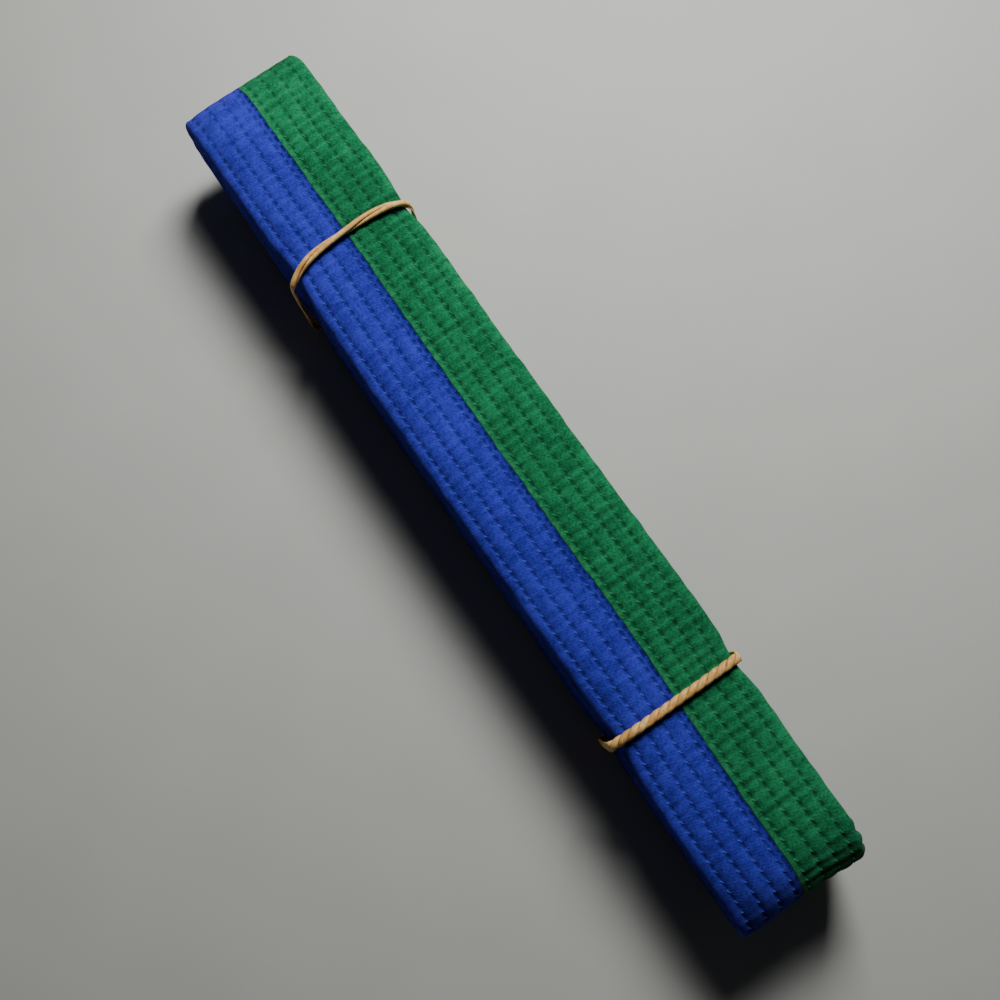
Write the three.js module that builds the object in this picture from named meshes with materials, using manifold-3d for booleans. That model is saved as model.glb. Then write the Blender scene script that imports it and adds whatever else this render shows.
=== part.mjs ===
// A two-colour martial arts belt, wound flat into a bundle and held by two rubber bands.
//
// The belt is a padded strap: two cloth covers, one blue and one green, are folded round a core of
// batting and meet along its middle, and rows of lockstitch quilt everything together. The strap is
// wound round and round into a flat stack of straight runs joined by half-turns.
//
// Frame: millimetres, +Z up. The origin is the middle of the bundle's footprint, on the surface
// that it rests on. +X runs along the bundle, and +Y across it, towards the green half.

import * as THREE from 'three';
import { mergeVertices } from 'three/addons/utils/BufferGeometryUtils.js';
import Module from 'manifold-3d';

// Strap.
const beltWidth = 40;
const beltThickness = 3.4;        // over the crests of the quilting
const clothThickness = 0.35;
const foldCut = 1.1;              // the folded outer edge, as a cut across the corner
const seamWidth = 0.3;            // between the two covers, along the middle
const seamDip = 0.2;              // the covers' meeting edges lie this far below the crests

// Quilting.
const rowsPerHalf = 4;
const edgeMargin = 3.5;           // from the folded edge to the first row
const seamMargin = 2.2;           // from the seam to the last row
const quiltDepth = 0.55;          // from a crest down to a row of stitching
const threadWidth = 0.8;
const threadHeight = 0.25;

// Core.
const battingPlies = 2;

// Closed ends of the strap.
const hemMargin = 4;              // from the end to the stitching that closes it
const hemChannel = 1.2;           // width of the channel which that stitching lies in
const rowEndMargin = 6;           // from the end to the first stitch of a row

// Winding.
const bundleLength = 278;         // over both folded ends
const runCount = 10;              // an even number, so the strap's tail ends on the underside
const layerGap = 0.3;             // between the crests of one run and the next
const tailInset = 24;             // the tail stops this far short of the last half-turn
const turnSteps = 6;              // facets in a half-turn
const tightTurnSteps = 3;         // facets in the innermost half-turns

// Rubber bands.
const bandWidth = 2.6;
const bandThickness = 1.6;
const bandEdge = 0.4;             // the band's rounded edges, as a cut across the corner
const bandCorner = 2;             // inner radius where the band bends over the bundle's edges
const bandArcSteps = 4;
const leftBandInset = 65;         // from the bundle's left end to the middle of the band
const rightBandInset = 60;        // from the bundle's right end to the middle of the band

// Fits.
const partClearance = 0.1;        // between cloth, batting and thread
const bandClearance = 0.3;        // between the bundle and a band, so that the band slides
const cutOverrun = 1;             // how far a cut reaches past the surface that it opens

const BLUE = 0x2844a4;
const LIGHT_BLUE = 0x4a66c4;
const GREEN = 0x1d7548;
const LIGHT_GREEN = 0x35895c;
const BATTING = 0xe6e1d4;
const RUBBER = 0xc8975f;

// Sizes that follow from those.
const halfWidth = beltWidth / 2;
const crest = beltThickness / 2;
const valley = crest - quiltDepth;
const cavity = valley - clothThickness;
const rowSpacing = (halfWidth - edgeMargin - seamMargin) / (rowsPerHalf - 1);
const steepestSlope = quiltDepth / (edgeMargin - foldCut);
const threadSeat = valley + (threadWidth / 2) * steepestSlope + partClearance;

const pitch = beltThickness + layerGap;
const largestTurn = ((runCount - 1) * pitch) / 2;
const rightTurnX = bundleLength / 2 - largestTurn - crest;
const leftTurnX = -bundleLength / 2 + largestTurn - pitch / 2 + crest;
const tailX = leftTurnX + tailInset;

const bundleBottom = bandThickness + bandClearance;
const firstRunZ = bundleBottom + crest + (runCount / 2) * pitch;
const bundleTop = firstRunZ + (runCount / 2 - 1) * pitch + crest;

const wasm = await Module();
wasm.setup();

function finish(color, roughness) {
  return new THREE.MeshStandardMaterial({ color, roughness, metalness: 0 });
}

const blueCloth = finish(BLUE, 0.85);
const greenCloth = finish(GREEN, 0.85);
const blueThread = finish(LIGHT_BLUE, 0.7);
const greenThread = finish(LIGHT_GREEN, 0.7);
const battingFelt = finish(BATTING, 1);
const rubber = finish(RUBBER, 0.5);

function part(name, geometry, material) {
  const mesh = new THREE.Mesh(geometry, material);
  mesh.name = name;
  return mesh;
}

// The strap's middle line, with both of its ends pulled in by `inset`. Run number k lies k / 2
// pitches above the first run when k is even, and (k + 1) / 2 below it when k is odd, and the
// half-turn after it has a radius of (k + 1) / 2 pitches. The half-turns at each end of the bundle
// share one centre. `heading` is the direction of travel: it turns by half a circle at each end.
function windingStations(inset) {
  const stations = [{ x: leftTurnX + inset, z: firstRunZ, heading: 0 }];
  for (let k = 0; k < runCount - 1; k++) {
    const atRight = k % 2 === 0;
    const centreX = atRight ? rightTurnX : leftTurnX;
    const centreZ = atRight ? firstRunZ - pitch / 2 : firstRunZ;
    const radius = ((k + 1) * pitch) / 2;
    const steps = k < 2 ? tightTurnSteps : turnSteps;
    for (let i = 0; i <= steps; i++) {
      const heading = -(k + i / steps) * Math.PI;
      const x = centreX - radius * Math.sin(heading);
      const z = centreZ + radius * Math.cos(heading);
      stations.push({ x, z, heading });
    }
  }
  const tailZ = firstRunZ - (runCount / 2) * pitch;
  stations.push({ x: tailX + inset, z: tailZ, heading: -(runCount - 1) * Math.PI });
  return stations;
}

// A path through the stations. A section carried along it keeps its first axis across the strap
// and its second axis pointing out of the winding.
class WindingPath extends THREE.Curve {
  constructor(stations) {
    super();
    this.stations = stations;
  }

  getPointAt(u) {
    const station = this.stations[Math.round(u * (this.stations.length - 1))];
    return new THREE.Vector3(station.x, 0, station.z);
  }

  computeFrenetFrames() {
    const along = (s) => new THREE.Vector3(Math.cos(s.heading), 0, Math.sin(s.heading));
    const outward = (s) => new THREE.Vector3(-Math.sin(s.heading), 0, Math.cos(s.heading));
    return {
      tangents: this.stations.map(along),
      normals: this.stations.map(() => new THREE.Vector3(0, 1, 0)),
      binormals: this.stations.map(outward),
    };
  }
}

function alongStrap(points, inset) {
  const outline = new THREE.Shape(points.map(([across, out]) => new THREE.Vector2(across, out)));
  const stations = windingStations(inset);
  return new THREE.ExtrudeGeometry(outline, {
    extrudePath: new WindingPath(stations),
    steps: stations.length - 1,
  });
}

function rectangle(across0, across1, out0, out1) {
  return [[across0, out0], [across1, out0], [across1, out1], [across0, out1]];
}

function toSolid(geometry) {
  const bare = geometry.clone();
  bare.deleteAttribute('normal');
  bare.deleteAttribute('uv');
  const merged = mergeVertices(bare);
  return new wasm.Manifold(new wasm.Mesh({
    numProp: 3,
    vertProperties: new Float32Array(merged.attributes.position.array),
    triVerts: new Uint32Array(merged.index.array),
  }));
}

function toGeometry(solid) {
  const mesh = solid.getMesh();
  const geometry = new THREE.BufferGeometry();
  geometry.setAttribute('position', new THREE.BufferAttribute(mesh.vertProperties, 3));
  geometry.setIndex(new THREE.BufferAttribute(mesh.triVerts, 1));
  geometry.computeVertexNormals();
  return geometry;
}

// Distance of a stitching row from the seam; row 0 is the one nearest the folded edge.
function rowOffset(row) {
  return halfWidth - edgeMargin - row * rowSpacing;
}

// One face of a cover's outline, from the folded edge to the seam: the cut corner of the fold,
// then a valley at each row with a crest between it and the next.
function quiltedFace() {
  const points = [[halfWidth, crest - foldCut], [halfWidth - foldCut, crest]];
  for (let row = 0; row < rowsPerHalf; row++) {
    points.push([rowOffset(row), valley]);
    if (row < rowsPerHalf - 1) {
      points.push([rowOffset(row) - rowSpacing / 2, crest]);
    }
  }
  points.push([seamWidth / 2, crest - seamDip]);
  return points;
}

// The two ends of the strap, where a line of stitching across it closes the covers. `out` is the
// direction that the outer face looks in there.
const strapEnds = [
  { name: 'start', x: leftTurnX + hemMargin, z: firstRunZ, out: 1 },
  { name: 'tail', x: tailX + hemMargin, z: bundleBottom + crest, out: -1 },
];

// A bar across the strap at one of its ends, on one of its faces: face is 1 for the outer face and
// -1 for the inner one. It spans the heights from low to high above the strap's middle.
function hemBar(end, face, width, length, low, high) {
  const bar = new THREE.BoxGeometry(width, length, high - low);
  bar.translate(end.x, 0, end.z + (end.out * face * (low + high)) / 2);
  return bar;
}

// A cloth cover: a C in section, folded at the strap's edge and open at the seam, closed at both
// ends of the strap, with a channel across each end for the stitching there. The cuts for the
// channels stop halfway to the next run of the winding.
function coverGeometry(side) {
  const face = quiltedFace();
  const back = face.map(([across, out]) => [across, -out]).reverse();
  const outline = [...face, ...back].map(([across, out]) => [side * across, out]);
  const foldInside = side * (halfWidth - clothThickness - partClearance);
  const hollow = rectangle(foldInside, -side * cutOverrun, -cavity, cavity);
  let cover = toSolid(alongStrap(outline, 0)).subtract(toSolid(alongStrap(hollow, clothThickness)));
  for (const end of strapEnds) {
    for (const face of [1, -1]) {
      const length = beltWidth + 2 * cutOverrun;
      const channel = hemBar(end, face, hemChannel, length, valley, crest + layerGap / 2);
      cover = cover.subtract(toSolid(channel));
    }
  }
  return toGeometry(cover);
}

// One ply of batting, across both halves. The plies share the covers' hollow.
function battingGeometry(ply) {
  const reach = halfWidth - clothThickness - 2 * partClearance;
  const depth = (2 * cavity - partClearance) / battingPlies;
  const low = -cavity + partClearance + ply * depth;
  return alongStrap(
    rectangle(-reach, reach, low, low + depth - partClearance), clothThickness + partClearance);
}

// A line of thread along a row, in its valley. It is a bead with three sides.
function rowThreadGeometry(side, row, face) {
  const across = side * rowOffset(row);
  const base = face * threadSeat;
  const top = face * (threadSeat + threadHeight);
  const bead = [[across - threadWidth / 2, base], [across + threadWidth / 2, base], [across, top]];
  return alongStrap(bead, rowEndMargin);
}

function hemThreadGeometry(end, face) {
  const low = valley + partClearance;
  return hemBar(end, face, threadWidth, beltWidth - 2 * foldCut, low, low + threadHeight);
}

function roundedRectangle(path, halfAcross, low, high, radius) {
  path.moveTo(-halfAcross + radius, low);
  path.absarc(halfAcross - radius, low + radius, radius, -Math.PI / 2, 0);
  path.absarc(halfAcross - radius, high - radius, radius, 0, Math.PI / 2);
  path.absarc(-halfAcross + radius, high - radius, radius, Math.PI / 2, Math.PI);
  path.absarc(-halfAcross + radius, low + radius, radius, Math.PI, 1.5 * Math.PI);
  path.closePath();
  return path;
}

// A rubber band round the bundle: a closed loop drawn across the bundle and extruded along it.
function bandGeometry() {
  const innerHalf = halfWidth + bandClearance;
  const innerTop = bundleTop + bandClearance;
  const outline = roundedRectangle(
    new THREE.Shape(), innerHalf + bandThickness, 0, innerTop + bandThickness,
    bandCorner + bandThickness);
  outline.holes.push(roundedRectangle(
    new THREE.Path(), innerHalf, bandThickness, innerTop, bandCorner));
  const geometry = new THREE.ExtrudeGeometry(outline, {
    depth: bandWidth - 2 * bandEdge,
    curveSegments: bandArcSteps,
    bevelThickness: bandEdge,
    bevelSize: bandEdge,
    bevelOffset: -bandEdge,
    bevelSegments: 1,
  });
  return geometry.translate(0, 0, bandEdge - bandWidth / 2);
}

function bandMesh(name, x) {
  const band = part(name, bandGeometry(), rubber);
  const acrossToY = new THREE.Matrix4().makeBasis(
    new THREE.Vector3(0, 1, 0), new THREE.Vector3(0, 0, 1), new THREE.Vector3(1, 0, 0));
  band.quaternion.setFromRotationMatrix(acrossToY);
  band.position.x = x;
  return band;
}

const halves = [
  { colour: 'blue', side: -1, cloth: blueCloth, thread: blueThread },
  { colour: 'green', side: 1, cloth: greenCloth, thread: greenThread },
];

const belt = new THREE.Group();
for (const { colour, side, cloth, thread } of halves) {
  belt.add(part(`${colour}_cover`, coverGeometry(side), cloth));
  for (let row = 0; row < rowsPerHalf; row++) {
    belt.add(part(`${colour}_needle_thread_${row + 1}`, rowThreadGeometry(side, row, 1), thread));
    belt.add(part(`${colour}_bobbin_thread_${row + 1}`, rowThreadGeometry(side, row, -1), thread));
  }
}
for (let ply = 0; ply < battingPlies; ply++) {
  belt.add(part(`batting_ply_${ply + 1}`, battingGeometry(ply), battingFelt));
}
for (const end of strapEnds) {
  belt.add(part(`${end.name}_hem_needle_thread`, hemThreadGeometry(end, 1), blueThread));
  belt.add(part(`${end.name}_hem_bobbin_thread`, hemThreadGeometry(end, -1), blueThread));
}

const group = new THREE.Group();
group.add(belt);
group.add(bandMesh('rubber_band_left', -bundleLength / 2 + leftBandInset));
group.add(bandMesh('rubber_band_right', bundleLength / 2 - rightBandInset));

export default group;
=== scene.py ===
"""A padded two-colour belt, wound flat into a bundle and held by two rubber bands.

All lengths below are in millimetres, and each mesh is turned into metres when it is made.
The strap is described by three numbers: s along its middle line, across from the seam, and
out from its middle plane. The function place() lays them round the winding.
"""
from collections import namedtuple
import math

import bpy
import numpy as np
from mathutils import Matrix, Vector


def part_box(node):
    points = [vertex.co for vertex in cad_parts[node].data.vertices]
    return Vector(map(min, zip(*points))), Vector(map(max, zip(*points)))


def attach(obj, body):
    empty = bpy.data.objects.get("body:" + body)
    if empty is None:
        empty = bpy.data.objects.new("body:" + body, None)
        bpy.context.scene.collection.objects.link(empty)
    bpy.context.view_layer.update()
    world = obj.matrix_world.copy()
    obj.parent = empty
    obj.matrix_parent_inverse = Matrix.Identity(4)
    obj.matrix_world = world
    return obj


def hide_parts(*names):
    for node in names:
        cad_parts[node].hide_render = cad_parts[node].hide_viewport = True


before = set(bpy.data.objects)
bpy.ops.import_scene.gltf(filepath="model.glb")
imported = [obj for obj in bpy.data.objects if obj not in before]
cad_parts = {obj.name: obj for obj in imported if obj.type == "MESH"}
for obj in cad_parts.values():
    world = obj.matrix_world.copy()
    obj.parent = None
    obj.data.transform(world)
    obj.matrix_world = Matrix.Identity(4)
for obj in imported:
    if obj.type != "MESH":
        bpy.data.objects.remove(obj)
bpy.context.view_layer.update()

MM = 0.001


# ---------------------------------------------------------------- camera

CAMERA_PLACE = Vector((0.0565, -0.0289, 0.3133))      # metres
CAMERA_FORWARD = Vector((-0.166, 0.080, -0.983))
CAMERA_UP = Vector((-0.806, 0.563, 0.182))
CAMERA_LENS = 37.8                                    # on a sensor 36 mm wide


def make_camera():
    """A camera above the bundle, turned so that the belt runs down to the right."""
    back = -CAMERA_FORWARD.normalized()
    right = CAMERA_UP.cross(back).normalized()
    up = back.cross(right)
    data = bpy.data.cameras.new("camera")
    data.lens = CAMERA_LENS
    data.sensor_width = 36
    data.clip_start = 0.01
    data.clip_end = 20
    camera = bpy.data.objects.new("camera", data)
    camera.matrix_world = Matrix.Translation(CAMERA_PLACE) @ Matrix((right, up, back)).transposed().to_4x4()
    bpy.context.scene.collection.objects.link(camera)
    bpy.context.scene.camera = camera


make_camera()


# ---------------------------------------------------------------- the strap's sizes

RUNS = 10                    # straight runs in the winding
THICKNESS = 3.4              # over the crests of the quilting
HALF_WIDTH = 19.3            # from the seam to the folded edge
TAIL_INSET = 24              # from the left half-turns' centre to the strap's tail
STITCH = 2.85                # length of one stitch
ROWS = 4                     # rows of stitching on each half
ROW_END_MARGIN = 6           # the rows start and end this far from the strap's ends
HEM_MARGIN = 4               # the closing seams lie this far from the strap's ends
VALLEY = 1.32                # half the thickness along a row
CREST = THICKNESS / 2        # half the thickness between two rows
FOLD_REACH = 2.0             # how far the folded edge's rounding reaches in
FOLD_HEIGHT = 1.55           # half the thickness where that rounding starts
CORE = 0.72                  # half the height of the hollow inside the covers
LEFT_SQUARENESS = 3.1        # powers of the superellipses that the half-turns are pressed into
RIGHT_SQUARENESS = 2.5
STACK_GRIP = 0.016           # share by which a band squeezes the stack's height
SIDE_GRIP = 0.055            # share by which a band pinches the strap's width
GRIP_REACH = 7               # how far along the bundle a band's squeeze fades out
BUNDLE_SLACK = 0.003         # share by which the stack swells between and beyond the bands
BLUE_EDGE_SAG = 2.2          # how far the top run's blue edge rolls down
GREEN_EDGE_SAG = 0.3         # and its green edge
CORNER_SAG = 2.6             # how much further the right end's blue corner rolls down
END_SKEW = 1.3               # how far the right end's green corner stands out
LAYER_WANDER = 0.12          # how far the lower runs stray sideways
PLY_EDGE = HALF_WIDTH - 1.6  # the batting's edges lie this far from the seam
PLY_INSET = 3                # and its ends this far from the strap's ends
PLY_HEIGHTS = ((-0.66, -0.01), (0.01, 0.66))     # of each ply's two faces, from the middle plane
DIMPLE_ALONG = 1.0           # reach of a needle hole's dimple along its row and beside it
DIMPLE_BESIDE = 0.65
FURROW_ALONG = 0.75          # reach of a furrow that runs from hole to hole
THREAD_CORNERS = 6           # corners of a thread's section
ROW_THREAD_RADIUS = 0.24
HEM_THREAD_RADIUS = 0.2
HEM_STITCHES = 12            # stitches across the strap in each closing seam
END_ROUND = 1.2              # a cover's edge is rounded this far from the strap's ends
END_SHUT = 1.6               # its hollow is shut up to here
END_OPEN = 2.6               # and wholly open from here
END_CLEAR = 3                # where its even sections start
END_STATIONS = np.array([0, 0.25, 0.6, END_ROUND, END_SHUT, END_OPEN])

# One colour's half of the strap: its side of the seam, where its rows of stitching lie, how
# deeply the cloth puckers between them, the seed of its unevenness, and the corners of its
# section at the seam, each a distance from the seam and a height: the lip of the cloth, which
# laps over blue on green's side, and the first ones of the wall round the padding.
Half = namedtuple("Half", "name side first_row row_spacing pucker seed lip wall")
BLUE = Half("blue", side=-1, first_row=2.2, row_spacing=4.75, pucker=0.12, seed=21,
            lip=((-0.5, 0.97), (-0.15, 1.05)), wall=((-0.5, CORE),))
GREEN = Half("green", side=1, first_row=1.8, row_spacing=4.5, pucker=0.34, seed=42,
             lip=((0.0, 1.2), (-0.08, 1.32)), wall=((1.2, 1.0), (1.7, CORE)))
WALL_END = ((HALF_WIDTH - 1.4, CORE), (HALF_WIDTH - 1.1, 0.3))      # the wall's corners at the fold

cover_low, cover_high = (np.array(corner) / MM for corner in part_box("green_cover"))
pitch = (cover_high[2] - cover_low[2] - THICKNESS) / (RUNS - 1)
first_run_z = cover_low[2] + THICKNESS / 2 + pitch * RUNS / 2
middle_z = (cover_low[2] + cover_high[2]) / 2
right_turn_x = cover_high[0] - THICKNESS / 2 - (RUNS - 1) * pitch / 2
left_turn_x = cover_low[0] + THICKNESS / 2 + (RUNS - 2) * pitch / 2
tail_x = left_turn_x + TAIL_INSET


def band_place(side):
    """How far along the bundle a rubber band lies, from its box."""
    low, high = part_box("rubber_band_" + side)
    return ((low + high) / 2)[0] / MM


left_band_x = band_place("left")
right_band_x = band_place("right")
grip_places = (left_band_x - 1.5, right_band_x)      # the left band's grip is under its bow


# ---------------------------------------------------------------- the winding

def turn_lengths():
    """The lengths of the winding's stretches in order: run, half-turn, run, and so on."""
    lengths = np.empty(2 * RUNS - 1)
    lengths[0::2] = right_turn_x - left_turn_x
    lengths[-1] = right_turn_x - tail_x
    lengths[1::2] = math.pi * pitch / 2 * np.arange(1, RUNS)
    return lengths


stretch_starts = np.concatenate([[0], np.cumsum(turn_lengths())])
strap_length = stretch_starts[-1]
last_left_turn = stretch_starts[2 * RUNS - 5]        # where the outer turn begins
top_run = stretch_starts[2 * RUNS - 4]
tail_run = stretch_starts[2 * RUNS - 2]


def winding(s):
    """The strap's middle line at s: x, z and heading, the angle that it has turned by.

    Run k goes left to right if k is even, and its height is half a pitch times k above the
    first run, or times k + 1 below it. Half-turn k is an arc of radius (k + 1) half-pitches.
    """
    stretch = np.clip(np.searchsorted(stretch_starts, s, side="right") - 1, 0, 2 * RUNS - 2)
    into = s - stretch_starts[stretch]
    k = stretch // 2
    even = k % 2 == 0
    in_turn = stretch % 2 == 1
    radius = (k + 1) * pitch / 2
    heading = -np.pi * (k + np.where(in_turn, into / (math.pi * radius), 0))
    run_x = np.where(even, left_turn_x + into, right_turn_x - into)
    run_z = np.where(even, first_run_z + k * pitch / 2, first_run_z - (k + 1) * pitch / 2)
    turn_x = np.where(even, right_turn_x, left_turn_x) - radius * np.sin(heading)
    turn_z = np.where(even, first_run_z - pitch / 2, first_run_z) + radius * np.cos(heading)
    return np.where(in_turn, turn_x, run_x), np.where(in_turn, turn_z, run_z), heading


def smooth(low, high, value):
    """0 below low and 1 above high, with an even curve between."""
    t = np.clip((value - low) / (high - low), 0, 1)
    return t * t * (3 - 2 * t)


def bump(middle, reach, value):
    """A bell curve of height 1 round middle."""
    return np.exp(-((value - middle) / reach) ** 2)


def wander(s, longest, shortest, seed):
    """A smooth random wave along s: six sines of falling period, together about 1 high."""
    rng = np.random.default_rng(seed)
    periods = np.geomspace(longest, shortest, 6)
    phases = rng.uniform(0, 2 * np.pi, 6)
    return sum(np.sin(2 * np.pi * s / p + a) for p, a in zip(periods, phases)) / 2.4


def height_share(z):
    """0 at the underside of the stack and 1 at its top."""
    return (z - cover_low[2]) / (cover_high[2] - cover_low[2])


def drift(s, x, z):
    """How far the seam lies towards the green side: the stack leans and bows, most at the top.

    The bow is a sum of smooth steps and bells at places along the bundle.
    """
    bow = (0.35 - 0.7 * smooth(128, 140, np.abs(x)) + 0.75 * smooth(110, 78, x) + 0.1 * smooth(-60, -80, x)
           + 0.35 * bump(-70, 26, x) + 0.35 * bump(55, 20, x))
    top = smooth(-12, 6, s - top_run) * (1 - smooth(-6, 30, s - top_run - right_turn_x + left_turn_x))
    return bow * smooth(-0.2, 0.85, height_share(z)) + LAYER_WANDER * (1 - top) * wander(s, 420, 90, 11)


def edge_sag(x, y, z):
    """How far the stack's top edges roll down: a smooth step towards each edge, most at the top.

    The blue corner of the right end rolls down further.
    """
    above = np.clip((z - middle_z) / (cover_high[2] - middle_z), 0, 1)
    corner = smooth(116, 139, x) * smooth(-2, 20, -y)
    return above ** 2 * (BLUE_EDGE_SAG * smooth(8, 20.5, -y) ** 1.4 + GREEN_EDGE_SAG * smooth(15, 20.5, y)
                         + CORNER_SAG * corner)


def square_up(x, z, turn_x, turn_z, power):
    """Press round half-turns into a superellipse, |x|^p + |z|^p = r^p, about their common centre."""
    beyond = np.maximum((x - turn_x) * np.sign(turn_x), 0)
    up = np.abs(z - turn_z)
    radius = np.hypot(beyond, up) + 1e-9
    gain = ((beyond / radius) ** power + (up / radius) ** power) ** (-1 / power)
    gain = np.where(beyond > 0, gain, 1)
    return np.where(beyond > 0, turn_x + (x - turn_x) * gain, x), turn_z + (z - turn_z) * gain


def left_bend(s):
    """1 on the last half-turn at the left end, where the outer cloth is stretched smooth."""
    return smooth(-14, 4, s - last_left_turn) * (1 - smooth(-2, 14, s - top_run))


def points_of(*values):
    """One row for each point of a grid, from values that are stretched to the whole grid."""
    return np.stack(np.broadcast_arrays(*values), axis=-1).reshape(-1, len(values))


def place(s, across, out):
    """Millimetre points of the strap.

    The winding is squared up at its two ends and shifted and rolled down as the stack lies.
    Near a band it is squeezed and pinched, and away from the bands it swells a little.
    """
    x, z, heading = winding(s)
    x = x - np.sin(heading) * out
    z = z + np.cos(heading) * out
    x, z = square_up(x, z, right_turn_x, first_run_z - pitch / 2, RIGHT_SQUARENESS)
    x, z = square_up(x, z, left_turn_x, first_run_z, LEFT_SQUARENESS)
    grip = sum(bump(at, GRIP_REACH, x) for at in grip_places)
    y = (across + drift(s, x, z)) * (1 - SIDE_GRIP * grip)
    z = z - edge_sag(x, y, z)
    slack = BUNDLE_SLACK * (smooth(10, 40, np.abs(x - left_band_x)) * smooth(10, 40, np.abs(x - right_band_x))
                            * smooth(150, 110, np.abs(x)))
    z = middle_z + (z - middle_z) * (1 - STACK_GRIP * grip + slack)
    x = x + END_SKEW * smooth(4, 19, y) * smooth(112, 136, x) * smooth(0.3, 0.9, height_share(z))
    return points_of(x, y, z)


# ---------------------------------------------------------------- meshes

def facing_out(points, faces):
    """The faces, turned round if the volume that they enclose comes out negative."""
    volume = sum(np.einsum("ij,ij->i", points[f[:, 0]], np.cross(points[f[:, i]], points[f[:, i + 1]])).sum()
                 for f in faces for i in range(1, f.shape[1] - 1))
    return faces if volume > 0 else [f[:, ::-1] for f in faces]


def make_piece(name, vertices, faces, body, material, uv, values=None):
    """An object at the origin from arrays of millimetre points and of faces.

    faces is a list of (count, corners) arrays. uv, the lay of the cloth, and values are per
    point. Walls are shaded smooth, and the caps, which have more than four corners, flat.
    """
    faces = facing_out(vertices, faces)
    loops = np.concatenate([f.reshape(-1) for f in faces])
    sizes = np.concatenate([np.full(len(f), f.shape[1]) for f in faces])
    mesh = bpy.data.meshes.new(name)
    mesh.vertices.add(len(vertices))
    mesh.vertices.foreach_set("co", (vertices * MM).astype(np.float32).reshape(-1))
    mesh.loops.add(len(loops))
    mesh.loops.foreach_set("vertex_index", loops.astype(np.int32))
    mesh.polygons.add(len(sizes))
    mesh.polygons.foreach_set("loop_start", np.concatenate([[0], np.cumsum(sizes)[:-1]]).astype(np.int32))
    mesh.polygons.foreach_set("use_smooth", sizes <= 4)
    mesh.update(calc_edges=True)
    layer = mesh.uv_layers.new(name="lay")
    layer.uv.foreach_set("vector", (uv[loops] * MM).astype(np.float32).reshape(-1))
    for key, value in (values or {}).items():
        attribute = mesh.attributes.new(key, "FLOAT", "POINT")
        attribute.data.foreach_set("value", value.astype(np.float32).reshape(-1))
    mesh.materials.append(material)
    mesh.validate()
    piece = bpy.data.objects.new(name, mesh)
    bpy.context.scene.collection.objects.link(piece)
    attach(piece, body)
    return piece


def ring_faces(stations, corners, closed=False):
    """Faces of a tube of rings, with a cap at each end unless it closes on itself."""
    index = np.arange(stations * corners).reshape(stations, corners)
    ahead = np.roll(index, -1, axis=0)
    if not closed:
        index, ahead = index[:-1], ahead[:-1]
    beside, ahead_beside = np.roll(index, -1, axis=1), np.roll(ahead, -1, axis=1)
    walls = np.stack([index, beside, ahead_beside, ahead], axis=-1).reshape(-1, 4)
    if closed:
        return [walls]
    return [walls, index[:1, ::-1], ahead[-1:]]


# ---------------------------------------------------------------- quilted covers

def pillow_share(half, across):
    """How full the padding stands, from 0 along a row of stitching to 1 between two rows.

    It is 1 - |2t - 1|^2.4 for t from row to row. Beside the seam it is a slope on green and a
    low roll on blue. Past the last row it rises in a quarter of a sine to the folded edge.
    """
    in_rows = (across - half.first_row) / half.row_spacing
    t = in_rows - np.floor(in_rows)
    edge = np.clip(across / half.first_row, 0, 1)
    if half is GREEN:
        beside_seam = 0.34 * (1 - edge ** 2)
    else:
        beside_seam = 0.6 * (1 - np.abs(2 * edge - 1) ** 2) - 0.1 * (1 - edge) ** 3
    last_row = half.first_row + (ROWS - 1) * half.row_spacing
    rim = (FOLD_HEIGHT - VALLEY) / (CREST - VALLEY)
    past_rows = rim * np.sin(np.clip(across - last_row, 0, 1) * np.pi / 2)
    pillow = np.where(in_rows < 0, beside_seam, 1 - np.abs(2 * t - 1) ** 2.4)
    return np.where(in_rows > ROWS - 1, past_rows, pillow)


def quilting(half, s, across, seed):
    """Half the strap's thickness over one half, and how hollow the cloth is there, from 0 to 1.

    Each needle hole draws the cloth into a dimple, a bell curve that is longer along the row.
    From hole to hole of two neighbouring rows the cloth puckers in a faint furrow, deeper in
    some places than in others. Blue gets painted shade under the lap at the seam.
    """
    rng = np.random.default_rng(seed)
    count = int(strap_length / STITCH) + 3
    pull = rng.uniform(0.65, 1.25, (count, ROWS))
    across_strap = rng.uniform(0, 1, (count, 1)) ** 2
    in_channel = rng.uniform(0, 1, (count, ROWS + 1)) ** 1.5
    furrows = 0.1 + 0.75 * across_strap + 0.65 * in_channel
    hole = np.rint(s / STITCH).astype(int)
    along = s - hole * STITCH
    in_rows = (across - half.first_row) / half.row_spacing
    row = np.clip(np.rint(in_rows), 0, ROWS - 1).astype(int)
    beside = across - (half.first_row + row * half.row_spacing)
    channel = np.clip(np.floor(in_rows), -1, ROWS - 1).astype(int) + 1
    pillow = pillow_share(half, across)
    stitched = ((s > ROW_END_MARGIN - 1) & (s < strap_length - ROW_END_MARGIN + 1)).astype(float)
    dimple = np.exp(-np.abs(along / DIMPLE_ALONG) ** 3 - (beside / DIMPLE_BESIDE) ** 2)
    dimple = stitched * pull[hole, row] * dimple
    furrow = half.pucker * furrows[hole, channel] * bump(0, FURROW_ALONG, along) * np.clip(pillow, 0, 1)
    fullness = (1 + 0.16 * wander(s, 60, 7, seed + 1)) * (1 - 0.8 * left_bend(s))
    height = VALLEY + (CREST - VALLEY) * pillow * fullness - (0.2 + 0.3 * half.pucker) * dimple - furrow
    # the finish paints shade by this amount in dimples and furrows
    hollow = np.clip(0.35 * dimple + 2.1 * furrow, 0, 1)
    # painted shade on blue beside the seam, under green's lap
    if half is BLUE:
        hollow = np.maximum(hollow, 0.8 * (1 - np.clip(across / 1.3, 0, 1)) ** 1.5)
    return np.maximum(height, CORE + 0.03), hollow


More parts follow.
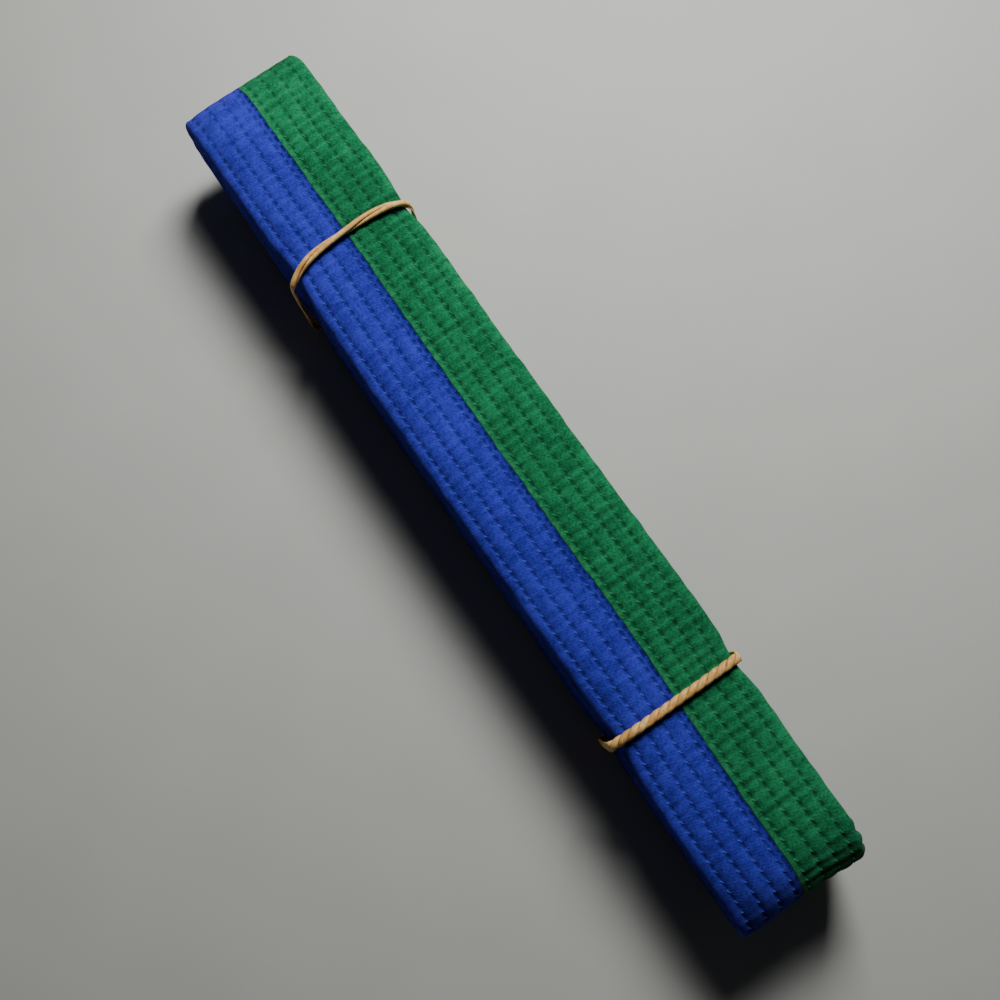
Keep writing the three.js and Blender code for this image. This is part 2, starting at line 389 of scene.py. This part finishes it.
def ripples(s):
    """Creases where the folded edge is crushed round the upper corner of the right end."""
    on_top = s - top_run + left_turn_x
    return np.sin(2 * np.pi * on_top / 4.2) * smooth(123, 129, on_top) * (1 - smooth(141, 149, on_top))


def face_places(half, fine):
    """Distances from the seam at which a cover's face is sampled, closer together at the rows."""
    spacing = half.row_spacing
    rows = half.first_row + spacing * np.arange(ROWS)
    near = np.array([-0.7, -0.35, 0, 0.35, 0.7]) if fine else np.array([0])
    between = np.linspace(1.25, spacing - 1.25, 4) if fine else np.linspace(1.2, spacing - 1.2, 3)
    places = [row + near for row in rows] + [row + between for row in rows[:-1]]
    places += [half.first_row * np.array([0.06, 0.2, 0.37, 0.55]) if fine else np.array([0.15, 1.0])]
    places += [np.array([HALF_WIDTH - FOLD_REACH])]
    return np.sort(np.concatenate(places))


def side_by_side(rows, *parts):
    """Columns joined side by side, each stretched to the same number of rows."""
    return np.concatenate([np.broadcast_to(part, (rows, np.shape(part)[-1])) for part in parts], axis=1)


def cover_ring(half, s, fine):
    """A cover's C-shaped section at every s: distance from the seam, height, lay and hollow.

    It runs along the outer face to the fold, round half an ellipse, back along the inner face,
    and returns as the wall of the hollow that holds the padding. Green laps over blue at the
    seam, with a frayed lip. At the strap's two ends the hollow closes and the edge is rounded.
    """
    s = s[:, None]
    lapped = half is GREEN
    face = face_places(half, fine)
    back = face_places(half, False)[::-1]
    height, hollow = quilting(half, s, face[None], half.seed)
    depth, back_hollow = quilting(half, s, back[None], half.seed + 7)
    bend = np.linspace(0, np.pi, 10 if fine else 8)[None, 1:-1]
    wave = 1 + 0.05 * wander(s, 40, 6, half.seed + 3) + 0.16 * ripples(s) * lapped
    fold_across = HALF_WIDTH - FOLD_REACH + FOLD_REACH * wave * np.sin(bend)
    fold_height = FOLD_HEIGHT * np.cos(bend)
    fray = -0.1 * wander(s, 45, 5, half.seed + 5) * lapped
    upper_wall = np.array(half.wall + WALL_END)
    lip_across, lip_out = np.array(half.lip).T
    wall_across, wall_out = np.concatenate([upper_wall * [1, -1], upper_wall[::-1]]).T
    from_end = np.minimum(s, strap_length - s)
    shut = 1 - smooth(END_SHUT, END_OPEN, from_end)
    end_round = 0.35 + 0.65 * np.sqrt(1 - (1 - np.clip(from_end / END_ROUND, 0, 1)) ** 2)
    across = side_by_side(len(s), lip_across + fray, face + fray * np.clip(1 - face, 0, 1), fold_across,
                          back, lip_across[::-1], wall_across)
    out = side_by_side(len(s), lip_out, height, fold_height, -depth, -lip_out[::-1],
                       wall_out * (1 - 0.98 * shut)) * end_round
    fold_lay = HALF_WIDTH - FOLD_REACH + (bend / np.pi) * 2 * FOLD_REACH
    lay = side_by_side(len(s), lip_across, face, fold_lay, 2 * HALF_WIDTH - back,
                       2 * HALF_WIDTH - lip_across[::-1], wall_across)
    # painted shade on blue's lip, under green's lap; none on green's lip
    lip_painted_shade = [0 if lapped else 0.5, 0]
    hollows = side_by_side(len(s), lip_painted_shade, hollow, 0 * bend, back_hollow, 0 * lip_across, 0 * wall_across)
    return across, out, lay, hollows


def make_cover(half, part, stations, fine, material):
    """One stretch of a cover: a closed shell of C-shaped sections carried along the winding."""
    across, out, lay, hollows = cover_ring(half, stations, fine)
    along = stations[:, None]
    points = place(along, half.side * across, out)
    piece = make_piece(f"{half.name}_cover_{part}", points, ring_faces(*across.shape), "belt", material,
                       uv=points_of(along, half.side * lay), values={"hollow": hollows})
    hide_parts(half.name + "_cover")


def spread(start, end, step):
    """Evenly spaced places from start to just before end."""
    return np.linspace(start, end, max(2, int(round((end - start) / step)) + 1))[:-1]


def stretch_stations(count, on_run, on_turn, turn_parts):
    """Stations of the first stretches: on_run apart on a run, and on a half-turn on_turn or closer."""
    parts = []
    for start, end in zip(stretch_starts[:count], stretch_starts[1:]):
        step = min(on_turn, (end - start) / turn_parts) if len(parts) % 2 else on_run
        parts.append(spread(start, end, step))
    return np.concatenate(parts)


def turn_stations():
    """Stations of the inner turns: two for each stitch on the runs, and at least 18 on a half-turn."""
    inner = stretch_stations(2 * RUNS - 5, STITCH / 2, 1.2, 18)
    return np.concatenate([END_STATIONS, inner[inner > END_CLEAR], [last_left_turn]])


def outer_stations():
    """Stations of the outer turn: eight for each stitch on top, and four on the underside."""
    outer = spread(last_left_turn, tail_run, STITCH / 8)
    underside = spread(tail_run, strap_length, STITCH / 4)
    return np.concatenate([outer, underside[underside < strap_length - END_CLEAR],
                           strap_length - END_STATIONS[::-1]])


# ---------------------------------------------------------------- padding and threads

def make_batting(number, low, high, material):
    """One ply of the core: a thin slab carried along the winding, rounded at its long edges."""
    s = stretch_stations(2 * RUNS - 1, 6, 3, 14)
    inside = (s > PLY_INSET + 1) & (s < strap_length - PLY_INSET - 1)
    s = np.concatenate([[float(PLY_INSET)], s[inside], [strap_length - PLY_INSET]])[:, None]
    edge = PLY_EDGE + 0.15
    mid = (low + high) / 2
    across = np.array([edge, PLY_EDGE, 6, -6, -PLY_EDGE, -edge, -PLY_EDGE, -6, 6, PLY_EDGE])
    out = np.array([mid, high, high, high, high, mid, low, low, low, low])
    piece = make_piece(f"batting_layer_{number}", place(s, across, out), ring_faces(len(s), len(across)),
                       "belt", material, uv=points_of(s, across))
    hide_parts(f"batting_ply_{number}")


def stitch_wave(phase):
    """Height of a thread over its row: a parabola over each stitch, cut off down in the holes."""
    return np.maximum(0.06 - 1.6 * (2 * phase - 1) ** 2, -0.5)


def stitch_stations(start, end, per_stitch):
    """Evenly spaced places from the first whole stitch past start."""
    return np.arange(math.ceil(start / STITCH) * STITCH, end, STITCH / per_stitch)


def make_row_thread(half, kind, row, face, material):
    """A thread of one row: a thin tube that dives into the cloth at each hole.

    Each stitch leans a little, by its own amount. A needle thread, on the outer face, has more
    stations where it shows, on the outer turn.
    """
    end = strap_length - ROW_END_MARGIN
    if face > 0:
        s = np.concatenate([stitch_stations(ROW_END_MARGIN, last_left_turn, 2),
                            stitch_stations(last_left_turn, tail_run, 8), stitch_stations(tail_run, end, 4)])
    else:
        s = stitch_stations(ROW_END_MARGIN, end, 2)
    s = s[:, None]
    stitch = np.floor(s / STITCH + 1e-6)
    phase = s / STITCH - stitch
    rng = np.random.default_rng(100 + 10 * row + (half.side > 0))
    sway = rng.uniform(-0.12, 0.12, int(strap_length / STITCH) + 2)[stitch.astype(int)]
    corner = np.arange(THREAD_CORNERS)[None] * 2 * np.pi / THREAD_CORNERS
    radius = ROW_THREAD_RADIUS
    lean = np.clip(0.9 * (2 * phase - 1), -0.45, 0.45) + sway
    across = half.side * (half.first_row + row * half.row_spacing) + lean + 1.2 * radius * np.cos(corner)
    height = VALLEY - 0.2 * left_bend(s) + stitch_wave(phase) + radius * 0.8 * np.sin(corner)
    node = f"{half.name}_{kind}_thread_{row + 1}"
    piece = make_piece(node + "_sewn", place(s, across, face * height), ring_faces(*across.shape),
                       "belt", material, uv=points_of(s, radius * corner))
    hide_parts(node)


def make_hem_thread(node, at, face, material):
    """A thread across the strap near one end: the same stitches, from edge to edge."""
    reach = HALF_WIDTH - THICKNESS
    stitch = 2 * reach / HEM_STITCHES
    step = stitch / 8
    run = np.arange(-reach, reach + step / 2, step)[:, None]
    phase = (run + reach) / stitch
    phase = phase - np.floor(phase + 1e-6)
    corner = -np.arange(THREAD_CORNERS)[None] * 2 * np.pi / THREAD_CORNERS
    radius = HEM_THREAD_RADIUS
    s = at + 0.25 * (2 * phase - 1) + radius * np.cos(corner)
    height = CREST - 0.15 + stitch_wave(phase) + radius * np.sin(corner)
    piece = make_piece(node + "_sewn", place(s, run, face * height), ring_faces(*s.shape),
                       "belt", material, uv=points_of(run, radius * corner))
    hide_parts(node)


# ---------------------------------------------------------------- rubber bands

# A band's place along the bundle, how far its middle bows and its green end leans along the
# bundle on top, its half-twists in one round, the radius of one turn, and the share of that
# radius to which the two turns' touching sides are pressed.
Band = namedtuple("Band", "x bow lean half_twists radius press")
BANDS = {"left": Band(left_band_x, bow=3.4, lean=-0.6, half_twists=9, radius=0.8, press=0.5),
         "right": Band(right_band_x, bow=0.0, lean=0.0, half_twists=51, radius=1.15, press=0.2)}
OVER_HALF = 1.15             # half the thickness to which the pair flattens on top of the stack
WALL_HALF = 0.5              # and on its sides
UNDER_HALF = 0.85            # and under it
BAND_MIDDLE_Y = 0.5          # the middle of the band's path, which leans with the stack
BAND_HALF_Y = 20.65          # and half its width
BAND_TOP = cover_high[2] + 0.1 + OVER_HALF
BAND_BOTTOM = UNDER_HALF + 0.02
BAND_POWER = 0.18            # power of the superellipse that a band follows
BAND_STATIONS = 2400
BAND_CORNERS = 12
PATH_POINTS = 20001
PATH_STEP = 0.15             # a band's heading is taken over this length before and behind
TWIST_START = 0.9            # radians
TWIST_SWAY = 0.5             # how far the twist runs ahead and falls behind, also in radians


def band_path(x, bow, lean):
    """Points once round the stack: a rounded rectangle, bowed along the bundle on top.

    The rectangle is a superellipse, y = a |cos t|^p and z = b |sin t|^p with their signs.
    """
    angle = np.linspace(0, 2 * np.pi, PATH_POINTS)
    share = np.sign(np.cos(angle)) * np.abs(np.cos(angle)) ** BAND_POWER
    rise = np.sign(np.sin(angle)) * np.abs(np.sin(angle)) ** BAND_POWER
    top = smooth(0.0, 0.9, np.sin(angle))
    y = BAND_MIDDLE_Y + BAND_HALF_Y * share
    z = (BAND_TOP + BAND_BOTTOM) / 2 + (BAND_TOP - BAND_BOTTOM) / 2 * rise
    bowed = x - bow * top * (1 - np.abs(share) ** 3) + lean * top * share
    return points_of(bowed, y, z - edge_sag(x, y, z))


def make_band(side, band, material):
    """A rubber band wound twice round the stack: one cord whose two turns twist together.

    The cord's middle line is the path plus an offset that turns round it by an odd number of
    half-twists in one round, so that after two rounds it closes on itself. A section is half a
    circle on the side away from the other turn and half an ellipse towards it. The pair is
    flattened against the cloth, most on the stack's sides. Stations are even along the path.
    """
    walked = band_path(band.x, band.bow, band.lean)
    length = np.concatenate([[0], np.cumsum(np.linalg.norm(np.diff(walked, axis=0), axis=1))])

    def at(distance):
        return np.stack([np.interp(distance % length[-1], length, walked[:, i]) for i in range(3)], axis=-1)

    rounds = np.arange(BAND_STATIONS) / BAND_STATIONS * 2
    distance = rounds * length[-1]
    path = at(distance)
    ahead = at(distance + PATH_STEP) - at(distance - PATH_STEP)
    ahead /= np.linalg.norm(ahead, axis=1)[:, None]
    sideways = np.array([1.0, 0, 0]) - ahead * ahead[:, :1]
    sideways /= np.linalg.norm(sideways, axis=1)[:, None]
    outward = np.cross(sideways, ahead)
    on_side = smooth(BAND_HALF_Y - 1.2, BAND_HALF_Y - 0.1, np.abs(path[:, 1] - BAND_MIDDLE_Y))[:, None]
    below = smooth(6, 2, path[:, 2])[:, None]
    flat = OVER_HALF + (UNDER_HALF - OVER_HALF) * below
    half = flat + (WALL_HALF - flat) * on_side
    outward = outward * np.minimum(half / (band.radius * (1 + band.press)), 1)
    sideways = sideways * (1 + 0.15 * on_side)
    twist = np.pi * band.half_twists * rounds + TWIST_SWAY * np.sin(4 * np.pi * rounds) + TWIST_START
    twist = twist[:, None]
    away = np.cos(twist) * sideways + np.sin(twist) * outward
    beside = np.sin(twist) * sideways - np.cos(twist) * outward
    corner = np.arange(BAND_CORNERS) * 2 * np.pi / BAND_CORNERS
    from_middle = np.where(np.cos(corner) > 0, 1, band.press) * np.cos(corner) + band.press
    ring = from_middle[:, None] * away[:, None] + np.sin(corner)[:, None] * beside[:, None]
    points = (path[:, None] + band.radius * ring).reshape(-1, 3)
    faces = ring_faces(BAND_STATIONS, BAND_CORNERS, closed=True)
    piece = make_piece(side + "_band_twisted", points, faces, side + "_band", material,
                       uv=points_of(distance[:, None], corner * band.radius))
    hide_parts("rubber_band_" + side)


# ---------------------------------------------------------------- finishes

class Wire:
    """A node's output. Python arithmetic on it adds Math nodes."""

    def __init__(self, finish, socket):
        self.finish = finish
        self.socket = socket

    def math(self, operation, first, second=0.0):
        """A Math node on Wires or numbers."""
        return self.finish.add("ShaderNodeMath", {"operation": operation}, {0: first, 1: second})

    def __add__(self, other):
        return self.math("ADD", self, other)

    __radd__ = __add__

    def __sub__(self, other):
        return self.math("SUBTRACT", self, other)

    def __rsub__(self, other):
        return self.math("SUBTRACT", other, self)

    def __mul__(self, other):
        return self.math("MULTIPLY", self, other)

    __rmul__ = __mul__

    def __truediv__(self, other):
        return self.math("DIVIDE", self, other)

    def sine(self):
        return self.math("SINE", self)

    def size(self):
        return self.math("ABSOLUTE", self)

    def fraction(self):
        return self.math("FRACT", self)

    def at_most(self, other):
        return self.math("MINIMUM", self, other)

    def within(self, low, high):
        """0 at low, 1 at high, and held there beyond."""
        return self.finish.add("ShaderNodeMapRange", {"interpolation_type": "SMOOTHSTEP"},
                               {0: self, 1: low, 2: high, 3: 0.0, 4: 1.0})


class Finish:
    """One procedural material."""

    def __init__(self, name, gloss, roughness=0.5, sheen=0.0):
        self.material = bpy.data.materials.new(name)
        self.material.use_nodes = True
        self.tree = self.material.node_tree
        self.shader = self.tree.nodes["Principled BSDF"]
        self.shader.inputs["Roughness"].default_value = roughness
        self.shader.inputs["Specular IOR Level"].default_value = gloss
        self.shader.inputs["Sheen Weight"].default_value = sheen
        self.shader.inputs["Sheen Roughness"].default_value = 0.5

    def add(self, kind, settings=None, inputs=None, output=0):
        """A new node with its settings, and its inputs as numbers, colours or Wires."""
        node = self.tree.nodes.new(kind)
        for key, value in (settings or {}).items():
            setattr(node, key, value)
        for key, value in (inputs or {}).items():
            if isinstance(value, Wire):
                self.tree.links.new(value.socket, node.inputs[key])
            else:
                node.inputs[key].default_value = value
        return Wire(self, node.outputs[output])

    def lay(self):
        """The piece's own map: metres along the strap, and across it."""
        return self.add("ShaderNodeUVMap", {"uv_map": "lay"})

    def split(self, vector):
        """A vector's first two numbers."""
        node = self.add("ShaderNodeSeparateXYZ", {}, {0: vector}).socket.node
        return Wire(self, node.outputs[0]), Wire(self, node.outputs[1])

    def value(self, name):
        """A number that the mesh holds at each point."""
        return self.add("ShaderNodeAttribute", {"attribute_name": name}, output=2)

    def position(self):
        """Object coordinates, in metres."""
        return self.add("ShaderNodeTexCoord", output=3)

    def noise(self, vector, scale, detail=2.0):
        """Soft random patches, about 1 / scale of the vector's units across."""
        return self.add("ShaderNodeTexNoise", {}, {"Vector": vector, "Scale": scale, "Detail": detail})

    def mix(self, share, first, second):
        """A blend of two colours."""
        return self.add("ShaderNodeMix", {"data_type": "RGBA"}, {0: share, 6: first, 7: second}, output=2)

    def stretch(self, vector, x, y, z):
        """The vector scaled along each axis."""
        return self.add("ShaderNodeVectorMath", {"operation": "MULTIPLY"}, {0: vector, 1: (x, y, z)})

    def colour(self, value):
        self.tree.links.new(value.socket, self.shader.inputs["Base Color"])

    def rough(self, value):
        self.tree.links.new(value.socket, self.shader.inputs["Roughness"])

    def relief(self, height, distance):
        """A bump that stands distance metres high where height is 1."""
        normal = self.add("ShaderNodeBump", {}, {"Height": height, "Distance": distance, "Strength": 1.0})
        self.tree.links.new(normal.socket, self.shader.inputs["Normal"])


def srgb(red, green, blue):
    """A linear colour from the usual 0 to 255 numbers."""
    c = np.array([red, green, blue]) / 255
    linear = np.where(c <= 0.04045, c / 12.92, ((c + 0.055) / 1.055) ** 2.4)
    return (*linear.tolist(), 1.0)


TWILL_ANGLE = math.radians(72)
TWILL_SPACING = 0.75 * MM
YARN_SPACING = 0.42 * MM         # along the strap
YARN_SLANT = 1.9 * MM
PLY_SPACING = 0.55 * MM          # of the strands of a thread, along it
PLY_SLANT = 1.25 * MM
# The needle marks here are painted shade and a bump at each needle hole.
HOLE_ALONG = 0.6                 # squares of a needle mark's reach along its row and across it
HOLE_ACROSS = 0.27
FOLD_START = HALF_WIDTH - 2.6    # needle marks fade out between these distances from the seam
FOLD_END = HALF_WIDTH - 1.6


def cloth_finish(half, name, base, light, dark, hole_shade, lip_highlight_and_shade, lip_highlight_and_shade_share):
    """Cotton twill: fine slanting ribs, fuzz, uneven dye, and shade in holes and furrows.

    Beside the seam the cloth takes the lip's colour: a painted highlight on green's raised lip, and painted
    shade from the lap on blue.
    """
    finish = Finish(name, roughness=0.95, gloss=0.05, sheen=0.03)
    uv = finish.lay()
    along, across = finish.split(uv)
    from_seam = across.size() / MM
    step = 2 * math.pi / TWILL_SPACING
    patch = finish.noise(uv, 240, 3.0)
    rib = (across * (math.cos(TWILL_ANGLE) * step) - along * (math.sin(TWILL_ANGLE) * step)).sine() * patch
    yarn = (along * (2 * math.pi / YARN_SPACING) + across * (2 * math.pi / YARN_SLANT)).sine()
    fuzz = finish.noise(uv, 1500, 3.0)
    slub = finish.noise(finish.stretch(uv, 620, 190, 1), 1.0, 3.0)
    cloud = finish.noise(finish.position(), 45, 3.0)
    tone = rib * 0.1 + yarn * 0.03 + (fuzz - 0.5) * 1.35 + (slub - 0.5) * 0.9 + (cloud - 0.5) * 0.8
    cloth = finish.mix((tone + (patch - 0.5) * 0.7 + 0.5).within(-0.1, 1.1), dark, light)
    # painted highlight on green's lip and painted shade on blue, beside the seam
    lip = (1 - from_seam.within(0.3, 1.5)) * slub.within(0.35, 0.65)
    cloth = finish.mix((lip * lip_highlight_and_shade_share).at_most(1.0), cloth, lip_highlight_and_shade)
    # needle holes: painted shade from this mask, and a bump below
    hole_along = ((along / (STITCH * MM) + 0.5).fraction() - 0.5) * STITCH
    in_rows = (from_seam - half.first_row) / half.row_spacing
    row_across = ((in_rows + 0.5).fraction() - 0.5) * half.row_spacing
    near = hole_along * hole_along / HOLE_ALONG + row_across * row_across / HOLE_ACROSS
    on_face = 1 - from_seam.within(FOLD_START, FOLD_END)
    hole = (1 - near.within(0.0, 1.7)) * on_face
    # painted shade: holes, dimples, furrows and blue beside the seam darken towards a dark copy of the base
    # colour
    shade = (hole * hole_shade + finish.value("hollow") * 0.55).at_most(0.9)
    shade_colour = tuple(c * 0.35 for c in base[:3]) + (1.0,)
    finish.colour(finish.mix(shade, cloth, shade_colour))
    finish.relief(rib * 0.35 + yarn * 0.15 + fuzz * 1.4 - hole, 0.06 * MM)
    return finish.material


def thread_finish(name, light, dark):
    """Spun thread: two strands twisted round each other, with a little shine."""
    finish = Finish(name, roughness=0.8, gloss=0.15)
    uv = finish.lay()
    along, across = finish.split(uv)
    twist = (along * (2 * math.pi / PLY_SPACING) + across * (2 * math.pi / PLY_SLANT)).sine()
    fuzz = finish.noise(uv, 3500, 2.0)
    wear = finish.noise(uv, 330, 2.0)
    finish.colour(finish.mix((twist * 0.25 + fuzz * 0.4 + wear * 2.6 - 1.0).within(0.0, 1.0), dark, light))
    finish.relief(twist, 0.04 * MM)
    return finish.material


def batting_finish(name, light, dark):
    """Undyed felted cotton: tangled fibres and soft clumps."""
    finish = Finish(name, roughness=0.97, gloss=0.05, sheen=0.2)
    uv = finish.lay()
    fibre = finish.noise(finish.stretch(uv, 400, 1800, 1), 1.0, 4.0)
    clump = finish.noise(uv, 160, 3.0)
    finish.colour(finish.mix((fibre * 0.6 + clump * 0.5).within(0.3, 0.8), dark, light))
    finish.relief(fibre + clump, 0.2 * MM)
    return finish.material


def rubber_finish(name, light, base, dark):
    """Natural rubber: faint lengthwise drawing lines, cloudy colour and a dusty bloom."""
    finish = Finish(name, gloss=0.45)
    lines = finish.noise(finish.stretch(finish.lay(), 60, 2600, 1), 1.0, 3.0)
    cloud = finish.noise(finish.position(), 260, 3.0)
    bloom = finish.noise(finish.position(), 1400, 2.0)
    body = finish.mix((lines * 0.7 + cloud * 0.5).within(0.35, 0.85), dark, base)
    finish.colour(finish.mix((bloom * cloud).within(0.18, 0.42) * 0.6, body, light))
    finish.rough(0.42 + (bloom - 0.3) * 0.35)
    finish.relief(lines * 0.8 + bloom * 0.4, 0.08 * MM)
    return finish.material


# ---------------------------------------------------------------- making the belt

# The hole shade darkens the needle holes with painted shade; the lip colour is painted shade on blue and a
# painted highlight on green.
blue_cloth = cloth_finish(BLUE, "blue_twill", base=srgb(40, 42, 146), light=srgb(58, 64, 188),
                          dark=srgb(28, 30, 118), hole_shade=0.27, lip_highlight_and_shade=srgb(16, 18, 84), lip_highlight_and_shade_share=1.6)
green_cloth = cloth_finish(GREEN, "green_twill", base=srgb(23, 99, 62), light=srgb(41, 133, 86),
                           dark=srgb(9, 74, 42), hole_shade=0.5, lip_highlight_and_shade=srgb(74, 134, 78), lip_highlight_and_shade_share=0.25)
blue_thread = thread_finish("blue_sewing_thread", light=srgb(70, 84, 194), dark=srgb(40, 50, 156))
green_thread = thread_finish("green_sewing_thread", light=srgb(50, 130, 88), dark=srgb(24, 102, 64))
batting = batting_finish("felted_cotton", light=srgb(236, 230, 215), dark=srgb(205, 196, 176))
rubber = rubber_finish("natural_rubber", light=srgb(254, 220, 142), base=srgb(234, 184, 106),
                       dark=srgb(190, 136, 68))

for half, cloth, thread in ((BLUE, blue_cloth, blue_thread), (GREEN, green_cloth, green_thread)):
    make_cover(half, "outer_turn", outer_stations(), True, cloth)
    make_cover(half, "inner_turns", turn_stations(), False, cloth)
    for row in range(ROWS):
        for kind, face in (("needle", 1), ("bobbin", -1)):
            make_row_thread(half, kind, row, face, thread)

for number, (low, high) in enumerate(PLY_HEIGHTS, 1):
    make_batting(number, low, high, batting)

for end, at in (("start", HEM_MARGIN), ("tail", strap_length - HEM_MARGIN)):
    for kind, face in (("needle", 1), ("bobbin", -1)):
        make_hem_thread(f"{end}_hem_{kind}_thread", at, face, blue_thread)

for side, band in BANDS.items():
    make_band(side, band, rubber)


# ---------------------------------------------------------------- floor and light

FLOOR_REACH = 2000


def make_floor():
    """A wide pale floor that the bundle lies on."""
    finish = Finish("pale_floor", roughness=0.75, gloss=0.2)
    grain = finish.noise(finish.position(), 30, 4.0)
    finish.colour(finish.mix(grain, srgb(180, 182, 178), srgb(188, 190, 186)))
    reach = FLOOR_REACH * MM
    corners = [(-reach, -reach, 0), (reach, -reach, 0), (reach, reach, 0), (-reach, reach, 0)]
    mesh = bpy.data.meshes.new("floor")
    mesh.from_pydata(corners, [], [(0, 1, 2, 3)])
    mesh.materials.append(finish.material)
    floor = bpy.data.objects.new("floor", mesh)
    bpy.context.scene.collection.objects.link(floor)


def make_light(direction, distance, size, power):
    """A square soft light that shines at the middle of the bundle. Metres and watts."""
    data = bpy.data.lights.new("key_light", "AREA")
    data.size = size
    data.energy = power
    data.color = (1.0, 0.99, 0.97)
    light = bpy.data.objects.new("key_light", data)
    aim = direction.normalized()
    light.location = aim * distance
    light.rotation_euler = aim.to_track_quat("Z", "Y").to_euler()
    bpy.context.scene.collection.objects.link(light)


def make_room(strength):
    """Faint, slightly cool light from all round."""
    world = bpy.data.worlds.new("room")
    world.use_nodes = True
    background = world.node_tree.nodes["Background"]
    background.inputs["Color"].default_value = (0.96, 0.97, 1.0, 1)
    background.inputs["Strength"].default_value = strength
    bpy.context.scene.world = world


make_floor()
make_light(Vector((-0.41, 0.45, 0.79)), distance=0.49, size=0.175, power=3.2)
make_room(0.02)
